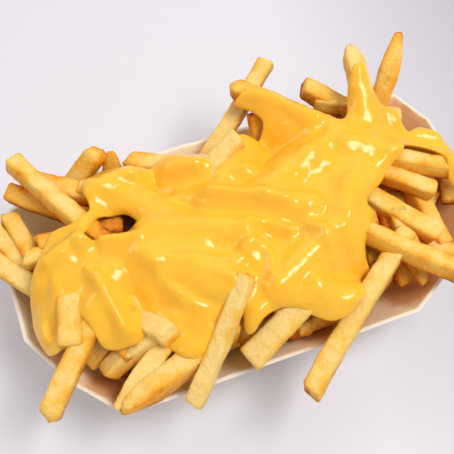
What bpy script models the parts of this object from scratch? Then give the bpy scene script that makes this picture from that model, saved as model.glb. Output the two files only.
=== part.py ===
# Cheese fries: a heap of thick-cut fries under melted cheese sauce,
# in an open tray of thin folded wood.
# The origin is at the centre of the tray's underside, +X runs along the tray
# and -Y points to the side seen in front. Lengths are in metres.

import math
import random

import bmesh
import bpy
from mathutils import Vector
from mathutils.geometry import delaunay_2d_cdt

MM = 0.001

# Tray: the rim's corners counter-clockwise from above, in millimetres.
RIM_CORNERS = [
    (-111.5, -14.5), (-97, -41), (-80, -61), (57, -60.5), (111.5, -29), (111.5, 34),
    (102.5, 54), (78, 60.5), (-86, 60.5), (-103, 52), (-111.5, 41.5),
]
RIM_HEIGHT = 35 * MM
WALL_RUN = 31 * MM
VENEER = 1.4 * MM

# Clear gap between one solid and the next.
GAP = 0.3 * MM

# Fries: the end that shows, the other end, the width and the length of the
# taper towards the first end, all in millimetres.
LEFT_FRIES = [
    ((-94, 60.5, 60), (-63, 0.5, 59), 9.0, 0),
    ((-100, 53.5, 47), (-62, 20.5, 50), 9.5, 0),
    ((-55, 55.5, 57), (-79, 48, 31), 10.5, 3),
    ((-50, 54.5, 55), (-56, 41.5, 24), 8.5, 11),
    ((-45, 52.5, 47), (-7, 30.5, 47), 9.0, 4),
    ((-88, 51.5, 51), (-45, 22.5, 53), 10.5, 0),
    ((-103, 43.5, 43), (-92, -2.5, 45), 8.5, 0),
    ((-113, 44.5, 41), (-94, -9.5, 44), 8.5, 0),
    ((-117, 27.5, 42), (-83, -17.5, 47), 9.5, 0),
    ((-101, 14.5, 50), (-59, 8.5, 54), 8.5, 0),
    ((-94, 19.5, 51), (-57, 13.5, 55), 9.0, 0),
]
FRONT_FRIES = [
    ((-93, -31.5, 51), (-87, -10, 54), 11.5, 0),
    ((-110, -54.5, 44), (-68, -7.5, 58), 9.5, 3),
    ((-87, -33, 33.5), (-65, -21.5, 54), 9.0, 0),
    ((-83, -35, 32), (-65, -30.5, 46), 8.0, 0),
    ((-82, -41.5, 38), (-53, -38.5, 54), 9.0, 0),
    ((-75, -38.5, 44), (-31, -29.5, 51), 10.0, 0),
    ((-79, -40, 30), (-61, -31.5, 40), 9.0, 0),
    ((-83, -58.5, 41), (-32, -25.5, 54), 9.0, 20),
    ((-81, -60.5, 42), (-26, -43.5, 49), 11.0, 16),
    ((-53, -68, 41), (-17, -32, 67.5), 7.8, 0),
    ((-25, -58, 42), (9, -44, 58), 12.2, 0),
    ((4, -50.5, 33), (21, -47.5, 48), 6.5, 0),
    ((-24, -43.5, 32), (-3, -32.5, 54), 9.0, 0),
    ((-2, -47.5, 31.5), (27, -46.5, 38), 9.0, 0),
    ((3, -48, 32), (35, -46.5, 36), 9.0, 0),
    ((-6, -80, 41), (62, -30, 52), 9.2, 0),
    ((-54, -42.5, 57), (-68, -21.5, 44), 9.5, 0),
]
RIGHT_FRIES = [
    ((107, -13, 54), (50, 17, 62), 9.2, 0),
    ((84, -14, 52), (42, 19, 59), 9.0, 0),
    ((75, -35, 50), (37, 14, 57.5), 10.0, 0),
    ((80.5, -57, 47), (30, -13, 59.5), 9.6, 0),
    ((79, -37.5, 42), (80, 20.5, 48), 9.0, 0),
    ((64, -50.5, 37.5), (61, -17.5, 54), 9.0, 13),
    ((59, -43.5, 30), (59, -15.5, 50), 8.5, 0),
    ((45, -36.5, 42), (51, -3.5, 54), 8.5, 0),
    ((85, -43.5, 40), (45, -23.5, 45), 9.0, 0),
]
BACK_FRIES = [
    ((37.5, 79, 58), (-12, 43, 35), 8.8, 0),
    ((14, 68.5, 60), (49, 31.5, 60), 9.0, 4),
    ((21, 53.5, 54), (21, 34.5, 32), 8.0, 0),
    ((50, 61, 54), (86, 28, 43), 10.0, 0),
    ((72, 62, 75), (68, 18, 50), 9.6, 9),
    ((99, 62, 74), (73, 33, 36), 10.4, 18),
    ((90, 30.5, 49), (53, 52.5, 51), 8.5, 0),
    ((5, 34, 67), (-28, 19, 51), 9.6, 0),
]
# Fries wholly under the sauce, which lift it into ridges.
COVERED_FRIES = [
    ((-69, 40, 54), (-29, 3, 58), 9.0, 0),
    ((-93, 4, 55), (-51, 3, 59), 9.0, 0),
    ((-68, 3, 58), (-30, -11, 60), 9.0, 0),
    ((-55, -5, 60), (-22, -31, 62), 9.0, 0),
    ((-75, 8, 60), (-69, -33, 50), 9.0, 0),
    ((-49, -7, 60), (-36, -47, 48), 9.5, 0),
    ((-16, 9, 62), (21, -9, 64), 9.5, 0),
    ((51, 25, 60), (5, 3, 64), 9.5, 0),
    ((63, 18, 58), (30, -22, 63), 9.5, 0),
    ((-5, -38, 61), (34, -18, 63), 9.5, 0),
    ((-9, -42, 55), (24, -51, 51), 9.5, 0),
    ((66, 28, 44), (104, 8, 41), 8.5, 0),
    ((-26, 37, 54), (2, 20, 58), 10.0, 0),
    ((-84, 2, 58), (-99, -21, 42), 9.5, 0),
    ((-47, 5, 60), (-10, -9, 62), 9.5, 0),
    ((-9, -10, 62), (-16, -44, 56), 9.5, 0),
    ((37, 40, 59), (63, 12, 53), 9.0, 0),
    ((106, 12, 38), (98, -14, 34), 8.5, 0),
]
FRY_END = 1.4 * MM
FRY_ROLL = 18
FRY_BOW = 1.3 * MM

# Fries low in the tray, laid by rule between the core and the walls.
LOW_FRIES = 24
LOW_FRY_LENGTH = (38 * MM, 58 * MM)
LOW_FRY_WIDTH = (8.4 * MM, 10 * MM)
LOW_FRY_SEED = 7

# Core of the heap: half length, half width and height of each ring.
CORE_RINGS = [
    (70, 25, 1.9), (81, 35, 14), (95, 47, 26), (92, 46, 34), (84, 41, 41),
    (70, 34, 47), (48, 25, 52), (20, 11, 54.5),
]
CORE_SIDES = 32
CORE_SQUARENESS = 2.6

# Sauce: its edge, clockwise from above, and the hole in it, the other way
# round, in millimetres.
SAUCE_EDGE = [
    (-69, 34), (-65, 42), (-58, 46), (-50, 45), (-42, 42), (-34, 41), (-27, 42), (-20, 41),
    (-12, 39), (-2, 37), (8, 41), (17, 40), (22, 45), (18, 52), (12, 58), (18, 60), (26, 58),
    (33, 51), (39, 43), (46, 37), (54, 32), (58, 36), (60, 44), (65, 50), (71, 51), (76, 47),
    (77, 40), (79, 36), (84, 35), (87, 31), (87, 26), (89, 22), (93, 23), (99, 24), (104, 19), (107, 12), (106, 4), (103, -5),
    (99, -13), (94, -17), (91, -12), (93, -2), (88, 7), (80, 10), (73, 3), (66, 0), (60, -5), (54, -9),
    (48, -13), (49, -19), (44, -25), (40, -30), (39, -36), (40, -42), (35, -48), (28, -53),
    (20, -57), (12, -57), (5, -54), (0, -50), (-4, -48), (-10, -47), (-16, -49), (-21, -52),
    (-24, -50), (-23, -44), (-24, -40), (-28, -41), (-32, -47), (-38, -53), (-45, -54),
    (-51, -51), (-54, -47), (-58, -42), (-62, -38), (-69, -39), (-76, -38), (-81, -35),
    (-83, -28), (-85, -23), (-89, -20), (-94, -21), (-97, -25), (-99, -30), (-103, -28), (-105, -21),
    (-106, -12), (-104, -4), (-100, 3), (-96, 9), (-91, 16), (-86, 21), (-77, 19), (-70, 22),
    (-68, 27),
]
SAUCE_HOLE = [(-74, 9), (-66, 6), (-58, 7), (-51, 12), (-54, 18), (-62, 20), (-69, 16)]
SAUCE_COVER = 3.0 * MM
SAUCE_DEPTH = 8 * MM
SAUCE_LIP = 4 * MM
SAUCE_LIP_DROP = 2.7 * MM
SAUCE_LIP_RINGS = (1.3 * MM, 4 * MM)
SAUCE_CELL = 5.6 * MM
RIDGE_DROP = 3.4 * MM
RIDGE_REACH = 6.5 * MM
RIDGE_BLEND = 3 * MM
# Shown fries that the sauce also coats in part.
COATED_FRIES = LEFT_FRIES[:2] + LEFT_FRIES[4:6] + LEFT_FRIES[9:] + FRONT_FRIES[1:2] \
    + FRONT_FRIES[5:6] + FRONT_FRIES[7:9] + FRONT_FRIES[10:11] + RIGHT_FRIES[:4] \
    + BACK_FRIES[1:2] + BACK_FRIES[4:5] + BACK_FRIES[6:7]


def clear_scene():
    for obj in list(bpy.data.objects):
        bpy.data.objects.remove(obj, do_unlink=True)


def make_collection(name):
    group = bpy.data.collections.new(name)
    bpy.context.scene.collection.children.link(group)
    return group


def make_material(name, colour, roughness):
    material = bpy.data.materials.new(name)
    material.use_nodes = True
    shader = material.node_tree.nodes["Principled BSDF"]
    shader.inputs["Base Color"].default_value = (*colour, 1.0)
    shader.inputs["Roughness"].default_value = roughness
    shader.inputs["Metallic"].default_value = 0.0
    return material


def object_from_bmesh(bm, name, group, material=None):
    bmesh.ops.recalc_face_normals(bm, faces=bm.faces)
    mesh = bpy.data.meshes.new(name)
    bm.to_mesh(mesh)
    bm.free()
    obj = bpy.data.objects.new(name, mesh)
    if material:
        mesh.materials.append(material)
    group.objects.link(obj)
    return obj


def inset_outline(corners, distance):
    """The outline's corners moved inwards, every side by the same distance."""
    moved = []
    for i, corner in enumerate(corners):
        before = (corner - corners[i - 1]).normalized()
        after = (corners[(i + 1) % len(corners)] - corner).normalized()
        in_before = Vector((-before.y, before.x))
        in_after = Vector((-after.y, after.x))
        mitre = (in_before + in_after).normalized()
        moved.append(corner + mitre * (distance / mitre.dot(in_after)))
    return moved


def wall_outline(height, depth):
    """The tray wall's outline at a height, a depth in from its outer face."""
    corners = [Vector(corner) * MM for corner in RIM_CORNERS]
    lean = math.atan2(WALL_RUN, RIM_HEIGHT)
    inset = WALL_RUN * (1 - height / RIM_HEIGHT) + depth / math.cos(lean)
    return inset_outline(corners, inset)


def tray_solid(name, group, grow, material=None):
    """The folded tray, or with a growth the space kept clear around it."""
    rings = [
        (-grow, -grow),
        (RIM_HEIGHT + grow, -grow),
        (RIM_HEIGHT + grow, VENEER + grow),
        (VENEER + grow, VENEER + grow),
    ]
    bm = bmesh.new()
    loops = []
    for height, depth in rings:
        outline = wall_outline(height, depth)
        loops.append([bm.verts.new((p.x, p.y, height)) for p in outline])
    count = len(RIM_CORNERS)
    for lower, upper in zip(loops, loops[1:]):
        for i in range(count):
            j = (i + 1) % count
            bm.faces.new((lower[i], lower[j], upper[j], upper[i]))
    bm.faces.new(list(reversed(loops[0])))
    bm.faces.new(loops[-1])
    return object_from_bmesh(bm, name, group, material)


def fry_stations(length, taper, sides):
    """Distances along a fry and the share of its full width at each."""
    stations = [(0.0, 0.8), (FRY_END, 1.0)]
    if taper:
        stations = [(0.0, 0.42), (taper * 0.4, 0.75), (taper, 1.0)]
    elif sides == 4:
        stations = [(0.0, 1.0)]
    stations += [(length * 0.55, 1.0)]
    if sides == 4:
        return stations + [(length, 1.0)]
    return stations + [(length - FRY_END, 0.97), (length, 0.78)]


def fry_section(half, sides):
    """A square section, with its edges cut where it has eight sides."""
    flat = half * 0.56
    if sides == 4:
        return [(half, half), (-half, half), (-half, -half), (half, -half)]
    return [
        (half, flat), (flat, half), (-flat, half), (-half, flat),
        (-half, -flat), (-flat, -half), (flat, -half), (half, -flat),
    ]


def fry_solid(row, number, group, grow=0.0, sides=8):
    """One fry: a slightly bowed, chamfered stick from one end to the other."""
    start, end, width, taper = row
    start = Vector(start) * MM
    end = Vector(end) * MM
    along = (end - start).normalized()
    start = start - along * grow
    end = end + along * grow
    length = (end - start).length
    chance = random.Random(number)
    roll = math.radians(chance.uniform(-FRY_ROLL, FRY_ROLL))
    bow = chance.uniform(-FRY_BOW, FRY_BOW)
    side = along.cross(Vector((0, 0, 1))).normalized()
    up = side.cross(along)
    across = side * math.cos(roll) + up * math.sin(roll)
    normal = up * math.cos(roll) - side * math.sin(roll)
    bm = bmesh.new()
    loops = []
    for distance, share in fry_stations(length, taper * MM, sides):
        part = distance / length
        centre = start + along * distance + side * bow * 4 * part * (1 - part)
        half = width * MM * 0.5 * share + grow
        loops.append([
            bm.verts.new(centre + across * x + normal * y * 0.95)
            for x, y in fry_section(half, sides)
        ])
    for lower, upper in zip(loops, loops[1:]):
        for i in range(sides):
            j = (i + 1) % sides
            bm.faces.new((lower[i], lower[j], upper[j], upper[i]))
    bm.faces.new(list(reversed(loops[0])))
    bm.faces.new(loops[-1])
    return object_from_bmesh(bm, "fry", group)


def core_solid(name, group, grow, material=None):
    """The smooth mound inside the heap, clear of the tray all round."""
    bm = bmesh.new()
    loops = []
    power = 2 / CORE_SQUARENESS
    for half_length, half_width, height in CORE_RINGS:
        loop = []
        for i in range(CORE_SIDES):
            angle = 2 * math.pi * i / CORE_SIDES
            x = math.copysign(abs(math.cos(angle)) ** power, math.cos(angle))
            y = math.copysign(abs(math.sin(angle)) ** power, math.sin(angle))
            place = (x * (half_length * MM + grow), y * (half_width * MM + grow), height * MM + grow)
            loop.append(bm.verts.new(place))
        loops.append(loop)
    for lower, upper in zip(loops, loops[1:]):
        for i in range(CORE_SIDES):
            j = (i + 1) % CORE_SIDES
            bm.faces.new((lower[i], lower[j], upper[j], upper[i]))
    bm.faces.new(list(reversed(loops[0])))
    bm.faces.new(loops[-1])
    return object_from_bmesh(bm, name, group, material)


def inside_outline(point, corners):
    inside = False
    for a, b in zip(corners, corners[1:] + corners[:1]):
        if (a.y > point.y) != (b.y > point.y):
            crossing = a.x + (point.y - a.y) * (b.x - a.x) / (b.y - a.y)
            if point.x < crossing:
                inside = not inside
    return inside


def edge_distance(point, corners):
    nearest = 1.0
    for a, b in zip(corners, corners[1:] + corners[:1]):
        side = b - a
        share = max(0.0, min(1.0, (point - a).dot(side) / side.length_squared))
        nearest = min(nearest, (point - a - side * share).length)
    return nearest


def fits_in_tray(place, reach):
    """Whether a ball of this reach at this place stays clear of the walls."""
    inner = wall_outline(min(place.z, RIM_HEIGHT), VENEER + GAP)
    flat = Vector((place.x, place.y))
    return inside_outline(flat, inner) and edge_distance(flat, inner) > reach


def low_fry_rows():
    """Fries laid against the core's flank, turned and tilted by chance."""
    chance = random.Random(LOW_FRY_SEED)
    rows = []
    while len(rows) < LOW_FRIES:
        angle = 2 * math.pi * (len(rows) + chance.random()) / LOW_FRIES
        height = chance.uniform(17, 37) * MM
        middle = Vector((math.cos(angle) * 88 * MM, math.sin(angle) * 42 * MM, height))
        heading = angle + math.pi / 2 + chance.uniform(-0.75, 0.75)
        flat = Vector((math.cos(heading), math.sin(heading) * 0.6, chance.uniform(-0.3, 0.3)))
        half = flat.normalized() * chance.uniform(*LOW_FRY_LENGTH) * 0.5
        width = chance.uniform(*LOW_FRY_WIDTH)
        ends = (middle - half, middle + half)
        if all(fits_in_tray(end, width * 0.75) for end in ends):
            rows.append((tuple(ends[0] / MM), tuple(ends[1] / MM), width / MM, 0))
    return rows


def join_by_boolean(obj, operation, group):
    """Join or cut the object with everything in a collection, once."""
    modifier = obj.modifiers.new("join", "BOOLEAN")
    modifier.operation = operation
    modifier.operand_type = "COLLECTION"
    modifier.collection = group
    modifier.solver = "MANIFOLD"
    bpy.context.view_layer.update()
    graph = bpy.context.evaluated_depsgraph_get()
    joined = bpy.data.meshes.new_from_object(obj.evaluated_get(graph))
    obj.modifiers.clear()
    obj.data = joined


def shells_of(bm):
    """The mesh's separate closed surfaces, each as a list of faces."""
    seen = set()
    shells = []
    for first in bm.faces:
        if first in seen:
            continue
        seen.add(first)
        shell = [first]
        for face in shell:
            for edge in face.edges:
                for other in edge.link_faces:
                    if other not in seen:
                        seen.add(other)
                        shell.append(other)
        shells.append(shell)
    return shells


def shell_volume(shell):
    volume = 0.0
    for face in shell:
        corners = [vert.co for vert in face.verts]
        for b, c in zip(corners[1:], corners[2:]):
            volume += corners[0].dot(b.cross(c)) / 6
    return volume


def keep_largest_shell(obj):
    """Drop loose scraps and fill sealed hollows."""
    bm = bmesh.new()
    bm.from_mesh(obj.data)
    bmesh.ops.remove_doubles(bm, verts=bm.verts, dist=0.002 * MM)
    bmesh.ops.triangulate(bm, faces=bm.faces)
    shells = shells_of(bm)
    largest = max(shells, key=shell_volume)
    spare = [face for shell in shells if shell is not largest for face in shell]
    bmesh.ops.delete(bm, geom=spare, context="FACES")
    bm.to_mesh(obj.data)
    bm.free()


def remove_group(group):
    for obj in list(group.objects):
        bpy.data.objects.remove(obj, do_unlink=True)
    bpy.data.collections.remove(group)


def fill_pieces(group, rows, first_number, grow, sides):
    for i, row in enumerate(rows):
        fry_solid(row, first_number + i, group, grow, sides)


def heap_pieces(group, grow, sides):
    """Every fry of the heap, with plain square ones under the sauce."""
    shown = LEFT_FRIES + FRONT_FRIES + RIGHT_FRIES + BACK_FRIES
    fill_pieces(group, shown, 0, grow, sides)
    fill_pieces(group, COVERED_FRIES, 100, grow, 4)
    fill_pieces(group, low_fry_rows(), 200, grow, sides)


def make_fries(group, material):
    fries = core_solid("fries", group, 0.0, material)
    pieces = make_collection("fry pieces")
    heap_pieces(pieces, 0.0, 8)
    join_by_boolean(fries, "UNION", pieces)
    remove_group(pieces)
    clearance = make_collection("tray clearance")
    tray_solid("tray clearance", clearance, GAP)
    join_by_boolean(fries, "DIFFERENCE", clearance)
    remove_group(clearance)
    keep_largest_shell(fries)
    return fries


def core_height(flat):
    """Height of the core's surface under a point seen from above."""
    rings = [(1.15, 24 * MM)] + [(ring[0] / CORE_RINGS[2][0], ring[2] * MM) for ring in CORE_RINGS[2:]]
    half_length, half_width, _ = CORE_RINGS[2]
    power = CORE_SQUARENESS
    reach = (abs(flat.x / MM / half_length) ** power + abs(flat.y / MM / half_width) ** power) ** (1 / power)
    for (outer, low), (inner, high) in zip(rings, rings[1:]):
        if reach > inner:
            share = min(1.0, (outer - reach) / (outer - inner))
            return low + (high - low) * max(share, 0.0)
    return rings[-1][1]


def ridge_height(flat, row):
    """Height to which one covered fry lifts the sauce at a point."""
    start = Vector(row[0]) * MM
    end = Vector(row[1]) * MM
    run = (end - start).to_2d()
    share = (flat - start.to_2d()).dot(run) / run.length_squared
    share = max(0.0, min(1.0, share))
    away = (flat - start.to_2d() - run * share).length
    top = start.z + (end.z - start.z) * share + row[2] * MM * 0.5
    return top - RIDGE_DROP * (away / RIDGE_REACH) ** 2


def sauce_height(flat):
    """Smooth upper surface of the sauce over the core and the fries."""
    heights = [core_height(flat)]
    heights += [ridge_height(flat, row) for row in COVERED_FRIES + COATED_FRIES]
    highest = max(heights)
    total = sum(math.exp((height - highest) / RIDGE_BLEND) for height in heights)
    return highest + RIDGE_BLEND * math.log(total) + SAUCE_COVER


def lip_drop(distance):
    """How far the sauce's rounded edge falls away near its outline."""
    if distance >= SAUCE_LIP:
        return 0.0
    rest = 1 - distance / SAUCE_LIP
    return SAUCE_LIP_DROP * (1 - math.sqrt(max(0.0, 1 - rest * rest)))


def lip_points(edge, hole):
    """Points in rings along the sauce's edge that give it a round lip."""
    points = []
    for corners in (edge, hole):
        for i, corner in enumerate(corners):
            middle = (corners[i - 1] + corner) / 2
            side = (corner - corners[i - 1]).normalized()
            for inset in SAUCE_LIP_RINGS:
                for place in (corner, middle):
                    flat = place + Vector((side.y, -side.x)) * inset
                    clear = min(edge_distance(flat, edge), edge_distance(flat, hole))
                    if clear > inset * 0.8:
                        points.append(flat)
    return points


def sauce_points(edge, hole):
    """The outline's points, its lip and an even grid of points inside it."""
    points = list(edge) + list(hole)
    for flat in lip_points(edge, hole):
        if all((flat - other).length > 1.2 * MM for other in points):
            points.append(flat)
    columns = int(240 * MM / SAUCE_CELL)
    rows = int(130 * MM / SAUCE_CELL)
    margin = SAUCE_LIP_RINGS[-1] + 0.5 * SAUCE_CELL
    for i in range(columns):
        for j in range(rows):
            shift = 0.5 * (j % 2)
            flat = Vector((-120 * MM + (i + shift) * SAUCE_CELL, -65 * MM + j * SAUCE_CELL))
            clear = min(edge_distance(flat, edge), edge_distance(flat, hole))
            if clear > margin and inside_outline(flat, edge) and not inside_outline(flat, hole):
                points.append(flat)
    return points


def sauce_solid(name, group, material):
    """The sauce before the heap is cut out of it."""
    edge = [Vector(point) * MM for point in SAUCE_EDGE]
    hole = [Vector(point) * MM for point in SAUCE_HOLE]
    points = sauce_points(edge, hole)
    lines = [(i, (i + 1) % len(edge)) for i in range(len(edge))]
    lines += [(len(edge) + i, len(edge) + (i + 1) % len(hole)) for i in range(len(hole))]
    flats, _, faces, _, _, _ = delaunay_2d_cdt(points, lines, [], 0, 1e-7)
    bm = bmesh.new()
    tops = []
    bottoms = []
    for flat in flats:
        height = sauce_height(flat)
        drop = lip_drop(min(edge_distance(flat, edge), edge_distance(flat, hole)))
        tops.append(bm.verts.new((flat.x, flat.y, height - drop)))
        bottoms.append(bm.verts.new((flat.x, flat.y, height - SAUCE_DEPTH)))
    borders = {}
    for face in faces:
        middle = (flats[face[0]] + flats[face[1]] + flats[face[2]]) / 3
        if not inside_outline(middle, edge) or inside_outline(middle, hole):
            continue
        bm.faces.new([tops[i] for i in face])
        bm.faces.new([bottoms[i] for i in reversed(face)])
        for a, b in zip(face, face[1:] + face[:1]):
            if (b, a) in borders:
                del borders[(b, a)]
            else:
                borders[(a, b)] = True
    for a, b in borders:
        bm.faces.new((tops[b], tops[a], bottoms[a], bottoms[b]))
    loose = [vert for vert in bm.verts if not vert.link_faces]
    bmesh.ops.delete(bm, geom=loose, context="VERTS")
    return object_from_bmesh(bm, name, group, material)


def make_sauce(group, material):
    sauce = sauce_solid("cheese_sauce", group, material)
    pieces = make_collection("heap clearance")
    core_solid("core clearance", pieces, GAP)
    heap_pieces(pieces, GAP, 4)
    tray_solid("tray clearance", pieces, GAP)
    join_by_boolean(sauce, "DIFFERENCE", pieces)
    remove_group(pieces)
    keep_largest_shell(sauce)
    return sauce


def main():
    clear_scene()
    part = make_collection("cheese_fries")
    wood = make_material("wood", (0.78, 0.60, 0.43), 0.6)
    fries = make_material("fries", (0.82, 0.52, 0.14), 0.55)
    cheese = make_material("sauce", (0.95, 0.48, 0.05), 0.25)
    solids = [
        tray_solid("tray", part, 0.0, wood),
        make_fries(part, fries),
        make_sauce(part, cheese),
    ]
    for solid in solids[1:]:
        solid.data.shade_smooth()


main()
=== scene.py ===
# Cheese fries in an open tray of thin folded wood.
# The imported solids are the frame; everything seen is made here, in metres.

import math
import random

import bmesh
import bpy
import numpy as np
from mathutils import Matrix, Vector, noise
from mathutils.geometry import delaunay_2d_cdt


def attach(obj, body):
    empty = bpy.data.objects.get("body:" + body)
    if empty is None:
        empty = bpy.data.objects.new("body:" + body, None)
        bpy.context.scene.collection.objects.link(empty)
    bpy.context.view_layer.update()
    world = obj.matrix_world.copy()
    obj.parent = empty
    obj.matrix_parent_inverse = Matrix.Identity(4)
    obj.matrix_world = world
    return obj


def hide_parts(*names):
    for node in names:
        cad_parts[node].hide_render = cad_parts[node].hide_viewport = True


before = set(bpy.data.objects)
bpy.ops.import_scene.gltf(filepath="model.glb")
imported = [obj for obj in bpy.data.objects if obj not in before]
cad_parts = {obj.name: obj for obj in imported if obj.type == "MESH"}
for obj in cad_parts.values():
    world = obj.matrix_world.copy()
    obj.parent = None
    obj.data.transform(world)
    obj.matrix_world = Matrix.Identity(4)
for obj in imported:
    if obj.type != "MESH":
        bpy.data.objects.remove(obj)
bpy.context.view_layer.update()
mm = 0.001
print("frame loaded")


# Camera, floor and light

photoView = {
    "azimuth": -23.8,      # degrees round from the front
    "elevation": 60.2,
    "roll": 3.6,
    "distance": 376,       # mm to the point looked at
    "lens": 63.4,
    "target": (-9.1, 9, 35),
}


def addCamera(view):
    azimuth = math.radians(view["azimuth"])
    elevation = math.radians(view["elevation"])
    roll = math.radians(view["roll"])
    back = Vector((
        math.sin(azimuth) * math.cos(elevation),
        -math.cos(azimuth) * math.cos(elevation),
        math.sin(elevation),
    ))
    level = Vector((math.cos(azimuth), math.sin(azimuth), 0))
    upright = back.cross(level)
    right = level * math.cos(roll) + upright * math.sin(roll)
    up = upright * math.cos(roll) - level * math.sin(roll)
    place = (Vector(view["target"]) + back * view["distance"]) * mm
    data = bpy.data.cameras.new("photoCamera")
    data.sensor_width = 36
    data.lens = view["lens"]
    data.clip_start = 0.01
    camera = bpy.data.objects.new("photoCamera", data)
    bpy.context.scene.collection.objects.link(camera)
    turn = Matrix((right, up, back)).transposed().to_4x4()
    camera.matrix_world = Matrix.Translation(place) @ turn
    bpy.context.scene.camera = camera


studio = {
    "floorSize": 3.0,                     # metres
    "floorDrop": 0.0004,                  # how far the floor lies below the tray
    "floorRoughness": 0.6,
    "floorColour": (0.73, 0.73, 0.775),
    "floorDim": (0.50, 0.49, 0.535),      # towards the right, where the light falls off
    "dimFrom": 0.03, "dimTo": 0.11,       # metres along the way of the fall-off
    "dimX": 0.62, "dimY": -0.10,          # the way of the fall-off
    "skyColour": (0.97, 0.955, 0.985),
    "skyStrength": 0.47,
    # name, degrees round from +X, degrees up, metres away, width in metres, watts, colour
    "panels": [
        ("keyPanel", -34, 64, 1.25, 0.62, 10.2, (1.0, 0.985, 0.96)),
        ("wallPanel", 150, 36, 1.3, 0.62, 2.6, (1.0, 0.90, 0.84)),
        ("glowPanel", 85, 48, 1.3, 1.5, 3.2, (1.0, 0.88, 0.82)),
    ],
    "panelShape": 0.75,                   # height of a panel as a share of its width
}


def addPanel(name, azimuth, elevation, distance, size, power, colour):
    a = math.radians(azimuth)
    e = math.radians(elevation)
    away = Vector((math.cos(a) * math.cos(e), math.sin(a) * math.cos(e), math.sin(e)))
    data = bpy.data.lights.new(name, "AREA")
    data.shape = "RECTANGLE"
    data.size = size
    data.size_y = size * studio["panelShape"]
    data.energy = power
    data.color = colour
    panel = bpy.data.objects.new(name, data)
    panel.location = away * distance
    panel.rotation_euler = away.to_track_quat("Z", "Y").to_euler()
    bpy.context.scene.collection.objects.link(panel)


def addStudio(look):
    for panel in look["panels"]:
        addPanel(*panel)
    world = bpy.data.worlds.new("softRoom")
    world.use_nodes = True
    background = world.node_tree.nodes["Background"]
    background.inputs["Color"].default_value = (*look["skyColour"], 1)
    background.inputs["Strength"].default_value = look["skyStrength"]
    bpy.context.scene.world = world
    half = look["floorSize"] / 2
    mesh = bpy.data.meshes.new("floor")
    low = -look["floorDrop"]
    mesh.from_pydata([(-half, -half, low), (half, -half, low), (half, half, low), (-half, half, low)],
                     [], [(0, 1, 2, 3)])
    floor = bpy.data.objects.new("floor", mesh)
    bpy.context.scene.collection.objects.link(floor)
    material, tree, shader = newMaterial("paleFloor")
    axes = tree.nodes.new("ShaderNodeSeparateXYZ")
    tree.links.new(objectCoordinates(tree), axes.inputs["Vector"])
    fall = combine(tree, "ADD", combine(tree, "MULTIPLY", axes.outputs["X"], look["dimX"]),
                   combine(tree, "MULTIPLY", axes.outputs["Y"], look["dimY"]))
    dim = remap(tree, fall, look["dimFrom"], look["dimTo"])
    tree.links.new(mixColours(tree, dim, look["floorColour"], look["floorDim"]), shader.inputs["Base Color"])
    shader.inputs["Roughness"].default_value = look["floorRoughness"]
    mesh.materials.append(material)


# Shared helpers

def newMaterial(name):
    material = bpy.data.materials.new(name)
    material.use_nodes = True
    tree = material.node_tree
    return material, tree, tree.nodes["Principled BSDF"]


def objectCoordinates(tree, scale=(1, 1, 1)):
    source = tree.nodes.new("ShaderNodeTexCoord")
    mapping = tree.nodes.new("ShaderNodeMapping")
    mapping.inputs["Scale"].default_value = scale
    tree.links.new(source.outputs["Object"], mapping.inputs["Vector"])
    return mapping.outputs["Vector"]


def noisePattern(tree, vector, scale, detail=3.0, roughness=0.5):
    node = tree.nodes.new("ShaderNodeTexNoise")
    node.inputs["Scale"].default_value = scale
    node.inputs["Detail"].default_value = detail
    node.inputs["Roughness"].default_value = roughness
    tree.links.new(vector, node.inputs["Vector"])
    return node.outputs["Fac"]


def remap(tree, value, low, high, newLow=0.0, newHigh=1.0):
    node = tree.nodes.new("ShaderNodeMapRange")
    node.inputs["From Min"].default_value = low
    node.inputs["From Max"].default_value = high
    node.inputs["To Min"].default_value = newLow
    node.inputs["To Max"].default_value = newHigh
    tree.links.new(value, node.inputs["Value"])
    return node.outputs["Result"]


def combine(tree, operation, first, second):
    node = tree.nodes.new("ShaderNodeMath")
    node.operation = operation
    for socket, value in zip(node.inputs, (first, second)):
        if isinstance(value, (int, float)):
            socket.default_value = value
        else:
            tree.links.new(value, socket)
    return node.outputs["Value"]


def mixColours(tree, share, first, second):
    node = tree.nodes.new("ShaderNodeMix")
    node.data_type = "RGBA"
    if isinstance(share, (int, float)):
        node.inputs["Factor"].default_value = share
    else:
        tree.links.new(share, node.inputs["Factor"])
    for socket, value in ((node.inputs[6], first), (node.inputs[7], second)):
        if isinstance(value, tuple):
            socket.default_value = (*value, 1)
        else:
            tree.links.new(value, socket)
    return node.outputs[2]


def colourRamp(tree, value, stops):
    node = tree.nodes.new("ShaderNodeValToRGB")
    ramp = node.color_ramp
    while len(ramp.elements) < len(stops):
        ramp.elements.new(0.5)
    for element, (place, colour) in zip(ramp.elements, stops):
        element.position = place
        element.color = (*colour, 1)
    tree.links.new(value, node.inputs["Fac"])
    return node.outputs["Color"]


def vertexValue(tree, name):
    node = tree.nodes.new("ShaderNodeAttribute")
    node.attribute_name = name
    return node.outputs["Fac"]


def addBump(tree, shader, heights, strength, depth):
    node = tree.nodes.new("ShaderNodeBump")
    node.inputs["Strength"].default_value = strength
    node.inputs["Distance"].default_value = depth
    tree.links.new(heights, node.inputs["Height"])
    tree.links.new(node.outputs["Normal"], shader.inputs["Normal"])


def makePiece(name, points, faces, material, values=None):
    mesh = bpy.data.meshes.new(name)
    mesh.from_pydata([tuple(p) for p in points], [], faces)
    for key, numbers in (values or {}).items():
        layer = mesh.attributes.new(key, "FLOAT", "POINT")
        layer.data.foreach_set("value", np.asarray(numbers, dtype=np.float32))
    mesh.materials.append(material)
    mesh.shade_smooth()
    mesh.validate()
    piece = bpy.data.objects.new(name, mesh)
    bpy.context.scene.collection.objects.link(piece)
    return piece


def standFor(piece, node):
    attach(piece, "root")
    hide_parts(node)


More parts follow.
